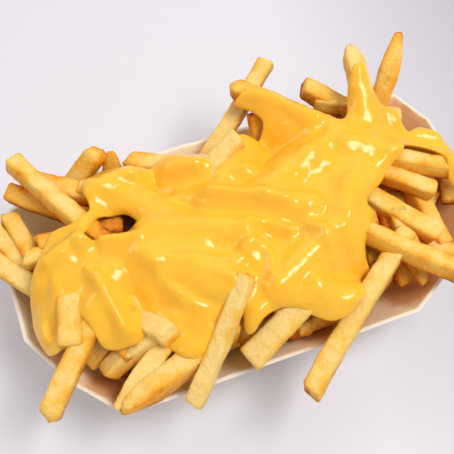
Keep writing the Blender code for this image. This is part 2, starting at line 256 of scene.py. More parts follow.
def smoothLoop(corners, parts=8):
    # a soft curve through every corner
    loop = [Vector(corner) for corner in corners]
    curve = []
    for i in range(len(loop)):
        p0, p1, p2, p3 = (loop[(i + k) % len(loop)] for k in (-1, 0, 1, 2))
        for k in range(parts):
            t = k / parts
            curve.append(0.5 * (2 * p1 + (p2 - p0) * t + (2 * p0 - 5 * p1 + 4 * p2 - p3) * t * t
                                + (3 * p1 - p0 - 3 * p2 + p3) * t ** 3))
    return curve


def evenLoop(loop, step):
    lengths = [(b - a).length for a, b in zip(loop, loop[1:] + loop[:1])]
    total = sum(lengths)
    count = round(total / step)
    points, i, run = [], 0, 0.0
    for k in range(count):
        target = total * k / count
        while run + lengths[i] < target:
            run += lengths[i]
            i += 1
        points.append(loop[i].lerp(loop[(i + 1) % len(loop)], (target - run) / lengths[i]))
    return points


def loopDistances(flats, loops):
    # distance from each point to the nearest loop
    places = np.array([tuple(flat) for flat in flats])
    nearest = np.full(len(places), 1e9)
    for loop in loops:
        a = np.array([tuple(p) for p in loop])
        b = np.roll(a, -1, 0)
        side = b - a
        for start in range(0, len(places), 2000):
            part = places[start:start + 2000]
            offset = part[:, None, :] - a[None]
            share = np.clip((offset * side[None]).sum(2) / (side * side).sum(1)[None], 0, 1)
            gap = np.linalg.norm(offset - side[None] * share[..., None], axis=2).min(1)
            nearest[start:start + 2000] = np.minimum(nearest[start:start + 2000], gap)
    return nearest


def insideLoop(flats, loop):
    places = np.array([tuple(flat) for flat in flats])
    inside = np.zeros(len(places), bool)
    for a, b in zip(loop, loop[1:] + loop[:1]):
        if a.y == b.y:
            continue
        crosses = (a.y > places[:, 1]) != (b.y > places[:, 1])
        at = a.x + (places[:, 1] - a.y) * (b.x - a.x) / (b.y - a.y)
        inside ^= crosses & (places[:, 0] < at)
    return inside


bpy.context.scene.view_settings.view_transform = "Standard"
addCamera(photoView)
addStudio(studio)
print("camera and studio ready")


# Tray

tray = {
    "rim": [(-111.5, -14.5), (-97, -41), (-80, -61), (57, -60.5), (111.5, -29), (111.5, 34),
            (102.5, 54), (78, 60.5), (-86, 60.5), (-103, 52), (-111.5, 41.5)],
    "height": 35.0,        # mm, as are the next four
    "wallRun": 31.0,
    "veneer": 1.3,
    "wave": 0.45,          # how far the rim bows in and out
    "step": 3.0,           # length of a mesh side
    "levels": 14,
    # x, y, reach and strength of each spot on the walls
    "greaseSpots": [(62, -47, 13, 1.0), (80, -40, 13, 0.7), (13, -49, 10, 0.9), (102, 34, 18, 1.1),
                    (96, 50, 16, 1.3), (-86, -45, 10, 1.0), (-66, -49, 9, 0.6), (-104, 20, 10, 0.3),
                    (-100, 38, 8, 0.4), (100, -22, 14, 0.9), (-95, -25, 8, 0.3), (104, 10, 14, 0.7)],
    "woodColours": [(0.25, (0.96, 0.76, 0.57)), (0.5, (0.99, 0.85, 0.70)), (0.75, (0.99, 0.90, 0.79))],
    "streakColour": (0.96, 0.73, 0.55),
    "innerBounceColour": (0.99, 0.68, 0.42),      # painted light: the inner face tinted warm, as if lit by light bounced from the fries
    "greaseColour": (0.70, 0.36, 0.13),
    "dryRoughness": 0.62, "greasyRoughness": 0.3,
    "glow": 0.6, "glowDepth": 0.003,        # light that passes into the wood, metres deep
}


def insetOutline(corners, distance):
    moved = []
    for i, corner in enumerate(corners):
        before = (corner - corners[i - 1]).normalized()
        after = (corners[(i + 1) % len(corners)] - corner).normalized()
        inBefore = Vector((-before.y, before.x))
        inAfter = Vector((-after.y, after.x))
        mitre = (inBefore + inAfter).normalized()
        moved.append(corner + mitre * (distance / mitre.dot(inAfter)))
    return moved


def wallOutline(height, depth):
    corners = [Vector(corner) for corner in tray["rim"]]
    lean = math.atan2(tray["wallRun"], tray["height"])
    inset = tray["wallRun"] * (1 - height / tray["height"]) + depth / math.cos(lean)
    return insetOutline(corners, inset)


def trayRing(height, depth):
    corners = wallOutline(height, depth)
    rim = [Vector(corner) for corner in tray["rim"]]
    share = max(0.0, height / tray["height"])
    ring = []
    for i, corner in enumerate(corners):
        following = corners[(i + 1) % len(corners)]
        length = (rim[(i + 1) % len(rim)] - rim[i]).length
        count = max(2, round(length / tray["step"]))
        side = (rim[(i + 1) % len(rim)] - rim[i]).normalized()
        outward = Vector((side.y, -side.x))
        for k in range(count):
            part = k / count
            flat = corner.lerp(following, part)
            along = rim[i].lerp(rim[(i + 1) % len(rim)], part)
            bow = noise.noise(Vector((along.x * 0.03, along.y * 0.03, 3.1)))
            fine = noise.noise(Vector((along.x * 0.2, along.y * 0.2, height * 0.05)))
            fade = min(1.0, 4 * part, 4 * (1 - part))
            shift = (bow * tray["wave"] * 1.6 * share ** 2 + fine * 0.12 * share) * fade
            rise = fine * 0.25 * share if height > tray["height"] - 0.6 else 0.0
            ring.append(Vector((flat.x + outward.x * shift, flat.y + outward.y * shift, height + rise)))
    return ring


def woodMaterial():
    material, tree, shader = newMaterial("paleVeneer")
    grainPlace = objectCoordinates(tree, (12, 420, 90))
    grain = noisePattern(tree, grainPlace, 1.0, 4, 0.6)
    broadPlace = objectCoordinates(tree, (8, 60, 25))
    broad = noisePattern(tree, broadPlace, 1.0, 2, 0.5)
    wood = colourRamp(tree, grain, tray["woodColours"])
    wood = mixColours(tree, remap(tree, broad, 0.35, 0.7, 0.0, 0.3), wood, tray["streakColour"])
    # painted light: a warm tint on the inner face stands in for light bounced from the fries
    inside = remap(tree, vertexValue(tree, "innerTint"), 0.0, 0.05)
    wood = mixColours(tree, combine(tree, "MULTIPLY", inside, 0.6), wood, tray["innerBounceColour"])
    # the grease spots stain the inner face; the inner face is also darker towards the bottom
    stainPlace = objectCoordinates(tree)
    blotch = noisePattern(tree, stainPlace, 60, 4, 0.6)
    stain = combine(tree, "ADD", vertexValue(tree, "innerTint"), remap(tree, blotch, 0.3, 0.7, -0.28, 0.28))
    stain = remap(tree, stain, 0.25, 0.75)
    wood = mixColours(tree, combine(tree, "MULTIPLY", stain, 0.8), wood, tray["greaseColour"])
    tree.links.new(wood, shader.inputs["Base Color"])
    sheen = remap(tree, stain, 0.0, 1.0, tray["dryRoughness"], tray["greasyRoughness"])
    tree.links.new(sheen, shader.inputs["Roughness"])
    shader.inputs["Subsurface Weight"].default_value = tray["glow"]
    shader.inputs["Subsurface Radius"].default_value = (1.0, 0.85, 0.7)
    shader.inputs["Subsurface Scale"].default_value = tray["glowDepth"]
    addBump(tree, shader, grain, 0.25, 0.0003)
    return material


def makeTray():
    material = woodMaterial()
    veneer = tray["veneer"]
    rings = []
    innerTints = []

    def addRing(height, depth, innerTint):
        ring = trayRing(height, depth)
        rings.append(ring)
        for point in ring:
            darkening = 0.0
            for x, y, reach, strength in tray["greaseSpots"]:
                darkening += strength * math.exp(-((point.x - x) ** 2 + (point.y - y) ** 2) / reach ** 2)
            innerTints.append(innerTint * 0.3 + min(1.0, darkening * 1.3) * min(1.0, innerTint * 6))

    addRing(0.0, 0.0, 0)
    for level in range(1, tray["levels"] + 1):
        addRing(tray["height"] * level / tray["levels"], 0.0, 0)
    addRing(tray["height"] + 0.12, veneer * 0.5, 0)
    for level in range(tray["levels"], 0, -1):
        height = max(tray["height"] * level / tray["levels"], veneer)
        # the inner face is tinted darker towards the bottom
        addRing(height, veneer, 0.5 - 0.42 * level / tray["levels"])
    addRing(veneer, veneer, 0.55)
    count = len(rings[0])
    points = [point * mm for ring in rings for point in ring]
    faces = []
    for r in range(len(rings) - 1):
        for i in range(count):
            j = (i + 1) % count
            faces.append((r * count + i, r * count + j, (r + 1) * count + j, (r + 1) * count + i))
    faces.append(tuple(reversed(range(count))))
    faces.append(tuple(range((len(rings) - 1) * count, len(rings) * count)))
    piece = makePiece("woodenTray", points, faces, material, {"innerTint": innerTints})
    bm = bmesh.new()
    bm.from_mesh(piece.data)
    bmesh.ops.triangulate(bm, faces=[face for face in bm.faces if len(face.verts) > 4])
    bmesh.ops.recalc_face_normals(bm, faces=bm.faces)
    bm.to_mesh(piece.data)
    bm.free()
    for polygon in piece.data.polygons:
        polygon.use_smooth = False
    standFor(piece, "tray")


makeTray()
print("tray ready")


# Fries
# Each row: the end that shows, the other end, the width, the length of the
# taper towards the first end, all in mm, and how dark the fry is drawn: its browning, with painted shade
# added for fries deep in the heap.

fryRows = {
    "left": [
        ((-94, 60.5, 60), (-63, 0.5, 59), 9.0, 0, 0.40),
        ((-100, 53.5, 47), (-62, 20.5, 50), 9.5, 0, 0.62),
        ((-55, 55.5, 57), (-79, 48, 31), 10.5, 3, 0.30),
        ((-50, 54.5, 55), (-56, 41.5, 24), 8.5, 11, 0.34),
        ((-45, 52.5, 47), (-7, 30.5, 47), 9.0, 4, 0.34),
        ((-88, 51.5, 51), (-45, 22.5, 53), 10.5, 0, 0.46),
        ((-103, 43.5, 43), (-92, -2.5, 45), 8.5, 0, 0.42),
        ((-113, 44.5, 41), (-94, -9.5, 44), 8.5, 0, 0.40),
        ((-117, 27.5, 42), (-83, -17.5, 47), 9.5, 0, 0.24),
        ((-101, 14.5, 50), (-59, 8.5, 54), 8.5, 0, 0.40),
        ((-94, 19.5, 51), (-57, 13.5, 55), 9.0, 0, 0.55),
    ],
    "front": [
        ((-93, -31.5, 51), (-87, -10, 54), 11.5, 0, 0.40),
        ((-110, -54.5, 44), (-68, -7.5, 58), 9.5, 3, 0.42),
        ((-87, -33, 33.5), (-65, -21.5, 54), 9.0, 0, 0.44),
        ((-83, -35, 32), (-65, -30.5, 46), 8.0, 0, 0.44),
        ((-82, -41.5, 38), (-53, -38.5, 54), 9.0, 0, 0.34),
        ((-75, -38.5, 44), (-31, -29.5, 51), 10.0, 0, 0.66),
        ((-79, -40, 30), (-61, -31.5, 40), 9.0, 0, 0.95),
        ((-83, -58.5, 41), (-32, -25.5, 54), 9.0, 20, 0.30),
        ((-81, -60.5, 42), (-26, -43.5, 49), 11.0, 16, 0.40),
        ((-53, -68, 41), (-17, -32, 67.5), 7.8, 0, 0.16),
        ((-25, -58, 42), (9, -44, 58), 12.2, 0, 0.26),
        ((4, -50.5, 33), (21, -47.5, 48), 6.5, 0, 0.46),
        ((-24, -43.5, 32), (-3, -32.5, 54), 9.0, 0, 0.46),
        ((-2, -47.5, 31.5), (27, -46.5, 38), 9.0, 0, 0.70),
        ((3, -48, 32), (35, -46.5, 36), 9.0, 0, 0.66),
        ((-6, -80, 41), (62, -30, 52), 9.2, 0, 0.34),
        ((-54, -42.5, 57), (-68, -21.5, 44), 9.5, 0, 0.06),
    ],
    "right": [
        ((107, -13, 54), (50, 17, 62), 9.2, 0, 0.42),
        ((84, -14, 52), (42, 19, 59), 9.0, 0, 0.42),
        ((75, -35, 50), (37, 14, 57.5), 10.0, 0, 0.42),
        ((80.5, -57, 47), (30, -13, 59.5), 9.6, 0, 0.46),
        ((79, -37.5, 42), (80, 20.5, 48), 9.0, 0, 0.42),
        ((64, -50.5, 37.5), (61, -17.5, 54), 9.0, 13, 0.46),
        ((59, -43.5, 30), (59, -15.5, 50), 8.5, 0, 0.66),
        ((45, -36.5, 42), (51, -3.5, 54), 8.5, 0, 0.60),
        ((85, -43.5, 40), (45, -23.5, 45), 9.0, 0, 0.50),
    ],
    "back": [
        ((37.5, 79, 58), (-12, 43, 35), 8.8, 0, 0.26),
        ((14, 68.5, 60), (49, 31.5, 60), 9.0, 4, 0.55),
        ((21, 53.5, 54), (21, 34.5, 32), 8.0, 0, 0.50),
        ((50, 61, 54), (86, 28, 43), 10.0, 0, 0.42),
        ((72, 62, 75), (68, 18, 50), 9.6, 9, 0.22),
        ((99, 62, 74), (73, 33, 36), 10.4, 20, 0.46),
        ((90, 30.5, 49), (53, 52.5, 51), 8.5, 0, 0.42),
        ((5, 34, 67), (-28, 19, 49.5), 9.6, 0, 0.12),
    ],
    "covered": [
        ((-69, 40, 54), (-29, 3, 58), 9.0, 0, 0.4),
        ((-93, 4, 55), (-51, 3, 59), 9.0, 0, 0.4),
        ((-68, 3, 58), (-30, -11, 60), 9.0, 0, 0.4),
        ((-55, -5, 60), (-22, -31, 62), 9.0, 0, 0.4),
        ((-75, 8, 60), (-69, -33, 50), 9.0, 0, 0.4),
        ((-49, -7, 60), (-36, -47, 48), 9.5, 0, 0.4),
        ((-16, 9, 62), (21, -9, 64), 9.5, 0, 0.4),
        ((51, 25, 60), (5, 3, 64), 9.5, 0, 0.4),
        ((63, 18, 58), (30, -22, 63), 9.5, 0, 0.4),
        ((-5, -38, 61), (34, -18, 63), 9.5, 0, 0.4),
        ((-9, -42, 55), (24, -51, 51), 9.5, 0, 0.4),
        ((66, 28, 44), (104, 8, 41), 8.5, 0, 0.4),
        ((-26, 37, 54), (2, 20, 58), 10.0, 0, 0.4),
        ((-84, 2, 58), (-99, -21, 42), 9.5, 0, 0.4),
        ((-47, 5, 60), (-10, -9, 62), 9.5, 0, 0.4),
        ((-9, -10, 62), (-16, -44, 56), 9.5, 0, 0.4),
        ((37, 40, 59), (63, 12, 53), 9.0, 0, 0.4),
        ((106, 12, 38), (98, -14, 34), 8.5, 0, 0.5),
    ],
}

fryLook = {
    "roll": 18,            # degrees that a fry may be turned on its axis
    "plump": 0.93,         # share of the row's width, as the next
    "cornerRound": 0.13,
    "bow": 1.3,            # mm, as are the next six
    "endRound": 1.5,
    "slant": 0.9,
    "wobble": 0.35,
    "relief": 0.26,
    "grain": 0.14,
    "blister": 0.16,
    "edgeBrown": 0.20,     # shares of browning, as are the next two
    "endBrown": 0.14,
    "patchBrown": 0.22,
    "sideShade": 0.30,     # painted shade on flanks and undersides, as a share on the same scale
    "pit": (-62, 13), "pitReach": 13, "pitShade": 0.42,   # painted shade, drawn dark in the gap under the hole in the sauce
    "coreShade": 0.72,     # painted shade: the heap's core, deep in the gaps, drawn dark
    "sauceShade": 0.3,         # painted shade: how much darker the inner fries are drawn under the sauce
    "colours": [           # from pale to dark brown
        (0.00, (0.97, 0.69, 0.235)),
        (0.25, (0.94, 0.555, 0.085)),
        (0.50, (0.90, 0.38, 0.016)),
        (0.75, (0.64, 0.185, 0.004)),
        (1.00, (0.19, 0.045, 0.002)),
    ],
    "shownSides": 32, "shownSpacing": 1.2,     # faces round a fry, mm between rings
    "lowSides": 24, "lowSpacing": 2.0,
    "coveredSides": 16, "coveredSpacing": 4.0,
    "innerSides": 16, "innerSpacing": 3.5,
}


def fryMaterial():
    material, tree, shader = newMaterial("friedPotato")
    place = objectCoordinates(tree)
    patches = noisePattern(tree, place, 230, 5, 0.62)
    grains = noisePattern(tree, place, 700, 4, 0.7)
    toastAndShade = combine(tree, "ADD", vertexValue(tree, "toastAndShade"), remap(tree, patches, 0.33, 0.67, -0.10, 0.10))
    toastAndShade = combine(tree, "ADD", toastAndShade, remap(tree, grains, 0.33, 0.67, -0.06, 0.05))
    tree.links.new(colourRamp(tree, toastAndShade, fryLook["colours"]), shader.inputs["Base Color"])
    tree.links.new(remap(tree, patches, 0.35, 0.7, 0.42, 0.66), shader.inputs["Roughness"])
    shader.inputs["Subsurface Weight"].default_value = 0.25
    shader.inputs["Subsurface Radius"].default_value = (1.0, 0.85, 0.6)
    shader.inputs["Subsurface Scale"].default_value = 0.0015
    shader.inputs["Specular IOR Level"].default_value = 0.25
    shader.inputs["Coat Weight"].default_value = 0.04
    shader.inputs["Coat Roughness"].default_value = 0.3
    rough = combine(tree, "ADD", grains, combine(tree, "MULTIPLY", patches, 0.8))
    addBump(tree, shader, rough, 0.8, 0.0009)
    return material


def sectionPoints(count, rounding):
    points = []
    for i in range(count):
        angle = 2 * math.pi * (i + 0.5) / count
        x, y = math.cos(angle), math.sin(angle)
        reach = max(abs(x), abs(y))
        x, y = x / reach, y / reach
        inner = 1 - rounding * 2
        overX, overY = abs(x) - inner, abs(y) - inner
        if overX > 0 and overY > 0:
            length = math.hypot(overX, overY)
            part = rounding * 2 / length
            if length > rounding * 2:
                x = math.copysign(inner + overX * part, x)
                y = math.copysign(inner + overY * part, y)
        points.append((x, y))
    return points


def fryStations(length, spacing):
    near = [0.0, 0.12, 0.45, 1.0, 1.9]
    inner = max(2, round((length - 3.8) / spacing))
    middle = [1.9 + (length - 3.8) * k / inner for k in range(1, inner)]
    return near + middle + [length - d for d in reversed(near)]


def fryShare(distance, length, taper):
    if taper and distance < taper:
        part = distance / taper
        share = 0.36 + 0.64 * math.sin(part * math.pi / 2) ** 0.9
        return share * min(1.0, 0.72 + distance * 0.3)
    share = 1.0
    for gap, least in ((distance, 0.84), (length - distance, 0.82)):
        if gap < fryLook["endRound"]:
            rest = 1 - gap / fryLook["endRound"]
            share *= 1 - (1 - least) * rest ** 2.2
    return share


def fryShape(row, number, sides, spacing):
    start, end, width, taper, brownAndShade = row
    start, end = Vector(start), Vector(end)
    along = (end - start).normalized()
    length = (end - start).length
    chance = random.Random(number)
    roll = math.radians(chance.uniform(-fryLook["roll"], fryLook["roll"]))
    bow = chance.uniform(-fryLook["bow"], fryLook["bow"])
    side = along.cross(Vector((0, 0, 1))).normalized()
    up = side.cross(along)
    across = side * math.cos(roll) + up * math.sin(roll)
    normal = up * math.cos(roll) - side * math.sin(roll)
    twist = chance.uniform(-0.12, 0.12)
    flatten = chance.uniform(0.88, 0.98)
    slants = [(chance.uniform(-1, 1), chance.uniform(-1, 1)) for _ in range(2)]
    wander = chance.uniform(0, 90)
    section = sectionPoints(sides, fryLook["cornerRound"])
    points, toastAndShadeValues = [], []
    stations = fryStations(length, spacing)
    for distance in stations:
        part = distance / length
        drift = noise.noise(Vector((distance * 0.06, wander, 0.3))) * fryLook["wobble"]
        lift = noise.noise(Vector((distance * 0.06, wander, 9.3))) * fryLook["wobble"]
        centre = start + along * distance + side * (bow * 4 * part * (1 - part) + drift) + up * lift
        half = width * fryLook["plump"] * 0.5 * fryShare(distance, length, taper)
        half *= 1 + 0.07 * noise.noise(Vector((distance * 0.09, wander, 5.5)))
        turn = twist * (part - 0.5)
        ax = across * math.cos(turn) + normal * math.sin(turn)
        ay = normal * math.cos(turn) - across * math.sin(turn)
        nearEnd = math.exp(-distance / 3.5)
        farEnd = math.exp(-(length - distance) / 3.5)
        thin = flatten
        if taper and distance < taper:
            thin *= 0.7 + 0.3 * distance / taper
        for x, y in section:
            slide = fryLook["slant"] * ((slants[0][0] * x + slants[0][1] * y) * nearEnd
                                        - (slants[1][0] * x + slants[1][1] * y) * farEnd)
            point = centre + ax * (half * x) + ay * (half * y * thin) + along * slide
            outward = (ax * x + ay * y).normalized()
            spot = point * 0.32 + Vector((wander, 0, 0))
            relief = noise.noise(spot) * fryLook["relief"] + noise.noise(spot * 2.6) * fryLook["grain"]
            blister = max(0.0, noise.noise(point * 0.95 + Vector((0, wander, 0))) - 0.12) * 2
            point = point + outward * (relief + blister * fryLook["blister"])
            points.append(point)
            corner = max(0.0, abs(x * y) - 0.45) / 0.4
            ends = max(math.exp(-distance / 1.6), math.exp(-(length - distance) / 1.6))
            patch = noise.noise(point * 0.11 + Vector((0, 0, wander)))
            toastAndShade = brownAndShade + fryLook["edgeBrown"] * corner * (0.6 + patch) + fryLook["endBrown"] * ends
            toastAndShade += fryLook["patchBrown"] * patch + 0.12 * blister - 0.10
            # painted shade: flanks and undersides are drawn darker and more orange
            toastAndShade += fryLook["sideShade"] * (0.35 - outward.z)
            toastAndShadeValues.append(min(1.0, max(0.0, toastAndShade)))
    faces = []
    for r in range(len(stations) - 1):
        for i in range(sides):
            j = (i + 1) % sides
            faces.append((r * sides + i, r * sides + j, (r + 1) * sides + j, (r + 1) * sides + i))
    for first, step in ((0, -1), ((len(stations) - 1) * sides, 1)):
        ring = list(range(first, first + sides))
        previous = ring
        centre = sum((points[i] for i in ring), Vector()) / sides
        for share, dish in ((0.66, 0.25), (0.33, 0.35)):
            inner = []
            for i in ring:
                spot = centre + (points[i] - centre) * share
                bump = noise.noise(spot * 0.5 + Vector((wander, 3, 0))) * 0.5 - dish * 0.3
                inner.append(len(points))
                points.append(spot + along * bump * step)
                toastAndShadeValues.append(max(0.0, toastAndShadeValues[i] - 0.14 * (1 - share)))
            for i in range(sides):
                j = (i + 1) % sides
                quad = (previous[i], previous[j], inner[j], inner[i])
                faces.append(quad if step > 0 else tuple(reversed(quad)))
            previous = inner
        points.append(centre)
        toastAndShadeValues.append(toastAndShadeValues[previous[0]])
        hub = len(points) - 1
        for i in range(sides):
            j = (i + 1) % sides
            triangle = (previous[i], previous[j], hub)
            faces.append(triangle if step > 0 else tuple(reversed(triangle)))
    return points, faces, toastAndShadeValues


def fryPiece(name, batches, material, darkening):
    # each batch: its rows, the seed of its first fry, faces round a fry and mm between rings
    points, faces, toastAndShadeValues = [], [], []
    for rows, firstNumber, sides, spacing in batches:
        for i, row in enumerate(rows):
            newPoints, newFaces, newToastAndShadeValues = fryShape(row, firstNumber + i, sides, spacing)
            base = len(points)
            points += [point * mm for point in newPoints]
            faces += [tuple(base + v for v in face) for face in newFaces]
            toastAndShadeValues += newToastAndShadeValues
    # painted shade: under the sauce the inner fries are drawn darker, and so is the gap under its hole
    edge = smoothLoop(sauce["edge"])
    flats = [point.to_2d() / mm for point in points]
    sauceShade = insideLoop(flats, edge) * np.clip(loopDistances(flats, [edge]) / 6 - 0.3, 0, 1)
    pit = np.array([(flat - Vector(fryLook["pit"])).length for flat in flats]) / fryLook["pitReach"]
    toastAndShadeValues = np.clip(np.array(toastAndShadeValues) + darkening * sauceShade + fryLook["pitShade"] * np.exp(-pit ** 4), 0, 1)
    piece = makePiece(name, points, faces, material, {"toastAndShade": toastAndShadeValues})
    standFor(piece, "fries")


heap = {
    # half length, half width and height of each ring, mm
    "core": [(66, 21, 1.9), (74, 29, 12), (86, 38, 22), (86, 40, 30), (76, 34, 37),
             (62, 27, 42), (42, 19, 46), (18, 9, 48)],
    "coreFull": (95, 47),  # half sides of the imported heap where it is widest
    # how far out, as a share of those, and how high
    "coreProfile": [(1.15, 24), (1.0, 26), (0.968, 34), (0.884, 41), (0.737, 47), (0.505, 52), (0.21, 54.5)],
    "squareness": 2.6,
    "wallDepth": 1.7,      # mm from the wall's outer face that stay clear
    "lowFries": 24, "lowSeed": 7, "lowReach": (88, 42), "lowHeight": (17, 37),
    "lowLength": (38, 58), "lowWidth": (8.4, 10),
    # the inner fries are drawn browner than the shown ones: their own browning, and painted shade in the
    # gaps
    "innerFries": 90, "innerSeed": 21, "innerReach": (93, 46), "innerDepth": (4, 9),
    "innerHalf": (17, 28), "innerWidth": (8.4, 9.8), "innerBrownAndShade": (0.42, 0.66),
}


def fitsInTray(place, reach):
    inner = wallOutline(min(place.z, tray["height"]), heap["wallDepth"])
    flats = [place.to_2d()]
    return insideLoop(flats, inner)[0] and loopDistances(flats, [inner])[0] > reach


def lowFryRows():
    chance = random.Random(heap["lowSeed"])
    rows = []
    while len(rows) < heap["lowFries"]:
        angle = 2 * math.pi * (len(rows) + chance.random()) / heap["lowFries"]
        height = chance.uniform(*heap["lowHeight"])
        reachX, reachY = heap["lowReach"]
        middle = Vector((math.cos(angle) * reachX, math.sin(angle) * reachY, height))
        heading = angle + math.pi / 2 + chance.uniform(-0.75, 0.75)
        flat = Vector((math.cos(heading), math.sin(heading) * 0.6, chance.uniform(-0.3, 0.3)))
        half = flat.normalized() * chance.uniform(*heap["lowLength"]) * 0.5
        width = chance.uniform(*heap["lowWidth"])
        ends = (middle - half, middle + half)
        if all(fitsInTray(end, width * 0.75) for end in ends):
            brownAndShade = 0.35 + 0.5 * noise.noise(middle * 0.05)
            rows.append((tuple(ends[0]), tuple(ends[1]), width, 0, brownAndShade))
    return rows


def coreHeight(x, y):
    full = heap["coreFull"]
    power = heap["squareness"]
    reach = (np.abs(x / full[0]) ** power + np.abs(y / full[1]) ** power) ** (1 / power)
    profile = sorted(heap["coreProfile"])
    return np.interp(reach, [p[0] for p in profile], [p[1] for p in profile])


def innerFryRows():
    # fries that fill the gaps just under the ones that show
    chance = random.Random(heap["innerSeed"])
    rows = []
    while len(rows) < heap["innerFries"]:
        angle = chance.uniform(0, 2 * math.pi)
        reach = math.sqrt(chance.uniform(0.12, 1.0))
        x = math.cos(angle) * heap["innerReach"][0] * reach
        y = math.sin(angle) * heap["innerReach"][1] * reach
        height = float(coreHeight(x, y)) - chance.uniform(*heap["innerDepth"])
        heading = chance.uniform(0, math.pi)
        flat = Vector((math.cos(heading), math.sin(heading) * 0.7, chance.uniform(-0.25, 0.25)))
        half = flat.normalized() * chance.uniform(*heap["innerHalf"])
        middle = Vector((x, y, height))
        ends = (middle - half, middle + half)
        low = all(end.z + 4 < float(coreHeight(end.x, end.y)) + 2 for end in ends)
        if low and all(fitsInTray(end, 7) for end in ends):
            width = chance.uniform(*heap["innerWidth"])
            rows.append((tuple(ends[0]), tuple(ends[1]), width, 0, chance.uniform(*heap["innerBrownAndShade"])))
    return rows


def makeCore(material):
    sides = 64
    power = 2 / heap["squareness"]
    points, toastAndShadeValues = [], []
    for halfLength, halfWidth, height in heap["core"]:
        for i in range(sides):
            angle = 2 * math.pi * i / sides
            x = math.copysign(abs(math.cos(angle)) ** power, math.cos(angle)) * halfLength
            y = math.copysign(abs(math.sin(angle)) ** power, math.sin(angle)) * halfWidth
            lump = noise.noise(Vector((x, y, height)) * 0.12) * 2
            points.append(Vector((x, y, height + max(0.0, lump))) * mm)
            # painted shade: the whole core is drawn dark, as the deep gaps in the heap
            toastAndShadeValues.append(fryLook["coreShade"])
    faces = []
    rings = len(heap["core"])
    for r in range(rings - 1):
        for i in range(sides):
            j = (i + 1) % sides
            faces.append((r * sides + i, r * sides + j, (r + 1) * sides + j, (r + 1) * sides + i))
    faces.append(tuple(reversed(range(sides))))
    faces.append(tuple(range((rings - 1) * sides, rings * sides)))
    piece = makePiece("heapCore", points, faces, material, {"toastAndShade": toastAndShadeValues})
    standFor(piece, "fries")


def makeFries():
    potato = fryMaterial()
    shownRows = fryRows["left"] + fryRows["front"] + fryRows["right"] + fryRows["back"]
    fryPiece("shownFries", [(shownRows, 0, fryLook["shownSides"], fryLook["shownSpacing"])], potato, 0.0)
    fryPiece("innerFries", [
        (lowFryRows(), 200, fryLook["lowSides"], fryLook["lowSpacing"]),
        (fryRows["covered"], 100, fryLook["coveredSides"], fryLook["coveredSpacing"]),
        (innerFryRows(), 400, fryLook["innerSides"], fryLook["innerSpacing"]),
    ], potato, fryLook["sauceShade"])
    makeCore(potato)


# Cheese sauce

